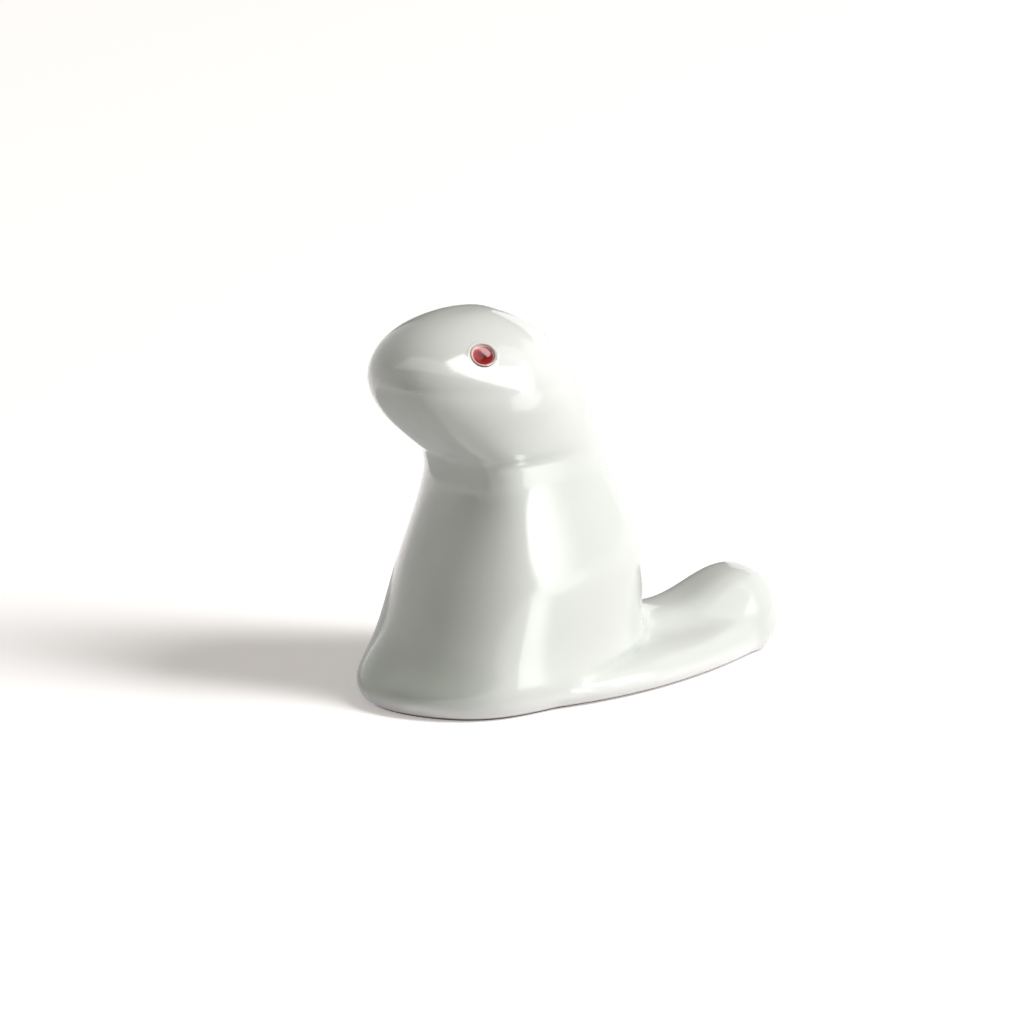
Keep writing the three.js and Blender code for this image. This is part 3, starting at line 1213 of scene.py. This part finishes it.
@dataclass(frozen=True)
class Panel:
    """A panel that only the glaze mirrors, either upright beside the figure or flat on the table.

    Angles are degrees to the right of the camera and up from level, as seen from the heart of the figure.
    Each corner is an angle to the side, with an angle up on an upright panel or a reach in metres on the
    table. The bright colour fades to the dim one past a line beside the heart, and above some height.
    """

    name: str
    corners: tuple[tuple[float, float], ...]
    strength: float = 1.0
    bright: Colour = grey(1.0)
    dim: Colour = grey(1.0)
    fade_side: float = 0.0
    fade_before: float = -1.0
    fade_after: float = 2.0
    fade_heights: tuple[float, float] = (1.0, 2.0)
    upright: bool = True
    side: float = 0.0
    rise: float = 0.0
    distance: float = 0.25
    lift: float = 0.05 * MM


@dataclass(frozen=True)
class Studio:
    """The table, the light and the camera."""

    aim: tuple[float, float, float] = (5.55 * MM, -2.27 * MM, 16.83 * MM)
    azimuth: float = 151.0
    elevation: float = 17.0
    distance: float = 0.45
    clip_start: float = 0.01
    sensor: float = 36.0
    frame_width: float = 102.4 * MM
    table_size: float = 8.0
    table_drop: float = 0.02 * MM
    table_colour: Colour = grey(0.88)
    table_bounce: Colour = grey(0.62)
    table_glow: float = 0.36
    table_warmth: Colour = (1.0, 0.94, 0.92, 1.0)
    room_colour: Colour = (1.0, 0.97, 0.86, 1.0)
    room_strength: float = 0.17
    heart: tuple[float, float, float] = (10 * MM, 8 * MM, 20 * MM)
    key_side: float = 73.0
    key_rise: float = 40.0
    key_distance: float = 3.0
    key_width: float = 0.7
    key_height: float = 1.9
    key_power: float = 97.0
    front_fade: tuple[float, float] = (0.10, 0.35)
    panels: tuple[Panel, ...] = (
        Panel(
            "bright_panel",
            corners=(
                (61.0, -5.0),
                (138.0, -5.0),
                (138.0, 45.0),
                (104.0, 48.0),
                (68.0, 32.0),
                (47.0, 42.0),
                (40.0, 60.0),
                (19.0, 76.0),
                (-21.0, 61.0),
                (-3.0, 43.0),
                (17.0, 28.0),
                (33.0, 15.0),
                (44.0, 6.0),
            ),
            strength=5.0,
            dim=grey(0.15),
            fade_side=66.0,
            fade_before=0.05,
            fade_after=0.09,
            side=60.0,
            rise=30.0,
        ),
        Panel(
            "soft_panel",
            corners=((68.0, 32.0), (104.0, 48.0), (108.0, 66.0), (60.0, 72.0), (40.0, 60.0), (47.0, 42.0)),
            side=60.0,
            rise=30.0,
        ),
        Panel(
            "bright_runner",
            corners=((48.0, 0.075), (47.0, 0.18), (57.0, 0.40), (90.0, 0.40), (84.0, 0.13), (66.0, 0.08)),
            strength=3.0,
            dim=grey(0.5),
            fade_side=62.0,
            fade_before=0.0,
            fade_after=0.10,
            upright=False,
        ),
        Panel(
            "low_panel",
            corners=(
                (41.0, -43.5),
                (62.0, -43.5),
                (76.0, -40.0),
                (76.0, -24.0),
                (60.0, -25.0),
                (46.0, -25.0),
            ),
            strength=3.6,
            dim=grey(0.33),
            fade_side=54.0,
            fade_before=-0.001,
            fade_after=0.006,
            side=55.0,
            distance=0.022,
        ),
        Panel(
            "shade_runner",
            corners=(
                (-40.0, 0.03),
                (-40.0, 0.25),
                (-85.0, 0.20),
                (-110.0, 0.17),
                (-132.0, 0.085),
                (-165.0, 0.055),
                (-176.0, 0.03),
            ),
            bright=grey(0.45),
            fade_side=-177.0,
            fade_before=-0.04,
            fade_after=0.17,
            upright=False,
        ),
        Panel(
            "sky_panel",
            corners=(
                (-95.0, 26.0),
                (14.0, 26.0),
                (-6.0, 44.0),
                (-24.0, 60.0),
                (-60.0, 62.0),
                (-95.0, 50.0),
            ),
            bright=grey(0.2),
            fade_heights=(0.12, 0.19),
            side=-40.0,
            rise=40.0,
        ),
        Panel(
            "backdrop",
            corners=((128.0, -4.0), (174.0, -4.0), (174.0, 24.0), (140.0, 30.0)),
            side=150.0,
            rise=10.0,
        ),
        Panel(
            "pale_panel",
            corners=(
                (-165.0, -5.0),
                (-55.0, -5.0),
                (-55.0, 26.0),
                (-95.0, 26.0),
                (-95.0, 45.0),
                (-165.0, 45.0),
            ),
            strength=0.8,
            dim=grey(0.2),
            fade_side=-97.0,
            fade_before=0.0,
            fade_after=0.22,
            fade_heights=(0.05, 0.30),
            side=-97.0,
            rise=10.0,
        ),
    )

    def towards(self, azimuth: float, elevation: float) -> Vector:
        """Give a direction from its angles in degrees.

        Args:
            azimuth: The angle round the figure.
            elevation: The angle up from level.

        Returns:
            The direction, one unit long.
        """
        turn = math.radians(azimuth)
        rise = math.radians(elevation)
        return Vector((math.sin(turn) * math.cos(rise), -math.cos(turn) * math.cos(rise), math.sin(rise)))

    def stand(self, obj: bpy.types.Object, point: Sequence[float], away: Vector, distance: float) -> None:
        """Stand the camera or a lamp away from a point, facing it."""
        obj.location = Vector(point) + away * distance
        obj.rotation_euler = away.to_track_quat("Z", "Y").to_euler()

    def camera(self) -> None:
        """Set up the camera at the photograph's angle."""
        data = bpy.data.cameras.new("camera")
        data.sensor_width = self.sensor
        data.lens = self.sensor * self.distance / self.frame_width
        data.clip_start = self.clip_start
        camera = linked("camera", data)
        self.stand(camera, self.aim, self.towards(self.azimuth, self.elevation), self.distance)
        bpy.context.scene.camera = camera

    def table(self) -> None:
        """Lay the pale table, which looks white wherever no shadow falls."""
        bm = bmesh.new()
        bmesh.ops.create_grid(bm, x_segments=1, y_segments=1, size=self.table_size / 2)
        bmesh.ops.translate(bm, vec=(0.0, 0.0, -self.table_drop), verts=bm.verts)
        table = as_object(bm, "table")
        material, board = new_material("table")
        ray = board.add("ShaderNodeLightPath", {}, {}, output="Is Camera Ray")
        mirrored = ray.other("Is Glossy Ray").largest(ray.other("Is Transmission Ray"))
        ahead = board.along(board.place(), self.towards(self.azimuth, 0.0))
        seen = ray.largest(mirrored * (1.0 - ahead.over(*self.front_fade)))
        colour = board.tint(seen, self.table_bounce, self.table_colour)
        paper = board.add("ShaderNodeBsdfDiffuse", {}, {"Color": colour})
        glow = board.glow(self.table_warmth, self.table_glow * seen)
        board.surface(board.add("ShaderNodeAddShader", {}, {0: paper, 1: glow}))
        table.data.materials.append(material)

    def key(self) -> None:
        """Hang the tall soft lamp to the right of the camera."""
        data = bpy.data.lights.new("key", "AREA")
        data.shape = "RECTANGLE"
        data.size = self.key_width
        data.size_y = self.key_height
        data.energy = self.key_power
        lamp = linked("key", data)
        lamp.visible_glossy = False
        away = self.towards(self.azimuth + self.key_side, self.key_rise)
        self.stand(lamp, self.heart, away, self.key_distance)

    def hang(self, panel: Panel) -> None:
        """Put up a panel for the glaze to mirror.

        Args:
            panel: The panel.
        """
        heart = Vector(self.heart)
        bm = bmesh.new()
        count = len(panel.corners)
        verts = bmesh.ops.create_circle(bm, cap_ends=True, segments=count, radius=1.0)["verts"]
        facing = self.towards(self.azimuth + panel.side, panel.rise)
        for vert, (turn, along) in zip(verts, panel.corners):
            ray = self.towards(self.azimuth + turn, along if panel.upright else 0.0)
            reach = panel.distance / ray.dot(facing) if panel.upright else along
            vert.co = heart + ray * reach
            if not panel.upright:
                vert.co.z = panel.lift
        obj = as_object(bm, panel.name)
        obj.visible_camera = False
        obj.visible_diffuse = False
        obj.visible_shadow = False
        material, board = new_material(panel.name)
        across = self.towards(self.azimuth + panel.fade_side + QUARTER, 0.0)
        place = board.place()
        past = board.along(place, across) - across.dot(heart)
        fade = past.over(-panel.fade_before, panel.fade_after)
        fade = fade.largest(board.height(place).over(*panel.fade_heights))
        colour = board.tint(fade, panel.bright, panel.dim)
        board.surface(board.glow(colour, panel.strength))
        obj.data.materials.append(material)

    def room(self) -> None:
        """Fill the room with dim light."""
        world = bpy.data.worlds.new("room")
        world.use_nodes = True
        board = Board(world.node_tree)
        sockets = {"Color": self.room_colour, "Strength": self.room_strength}
        light = board.add("ShaderNodeBackground", {}, sockets)
        board.surface(light, "ShaderNodeOutputWorld")
        bpy.context.scene.world = world

    def build(self) -> None:
        """Set up the whole studio."""
        bpy.context.scene.view_settings.view_transform = "Standard"
        self.camera()
        self.table()
        self.key()
        for panel in self.panels:
            self.hang(panel)
        self.room()


def place_piece(obj: bpy.types.Object, slot: Slot, *nodes: str) -> None:
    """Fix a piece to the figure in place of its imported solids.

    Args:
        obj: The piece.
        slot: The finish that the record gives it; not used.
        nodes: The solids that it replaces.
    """
    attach(obj, BODY)
    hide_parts(*nodes)
    log.info("%s: %d faces, in place of %s", obj.name, len(obj.data.polygons), ", ".join(nodes))


def main() -> None:
    """Build the chopstick rest and its studio."""
    logging.basicConfig(level=logging.INFO, format="%(name)s: %(message)s")
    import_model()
    figure = GlazedFigure()
    place_piece(figure.build(), Slot.GLAZE, "left_shell", "right_shell", "tail")
    place_piece(BasePlate().build(), Slot.BISCUIT, "base_plate")
    enamel = RedEnamel().material()
    for pit in figure.pits:
        place_piece(EnamelEye(pit).build(enamel), Slot.ENAMEL, f"{pit.side.name.lower()}_eye")
    Studio().build()


if __name__ == "__main__":
    main()
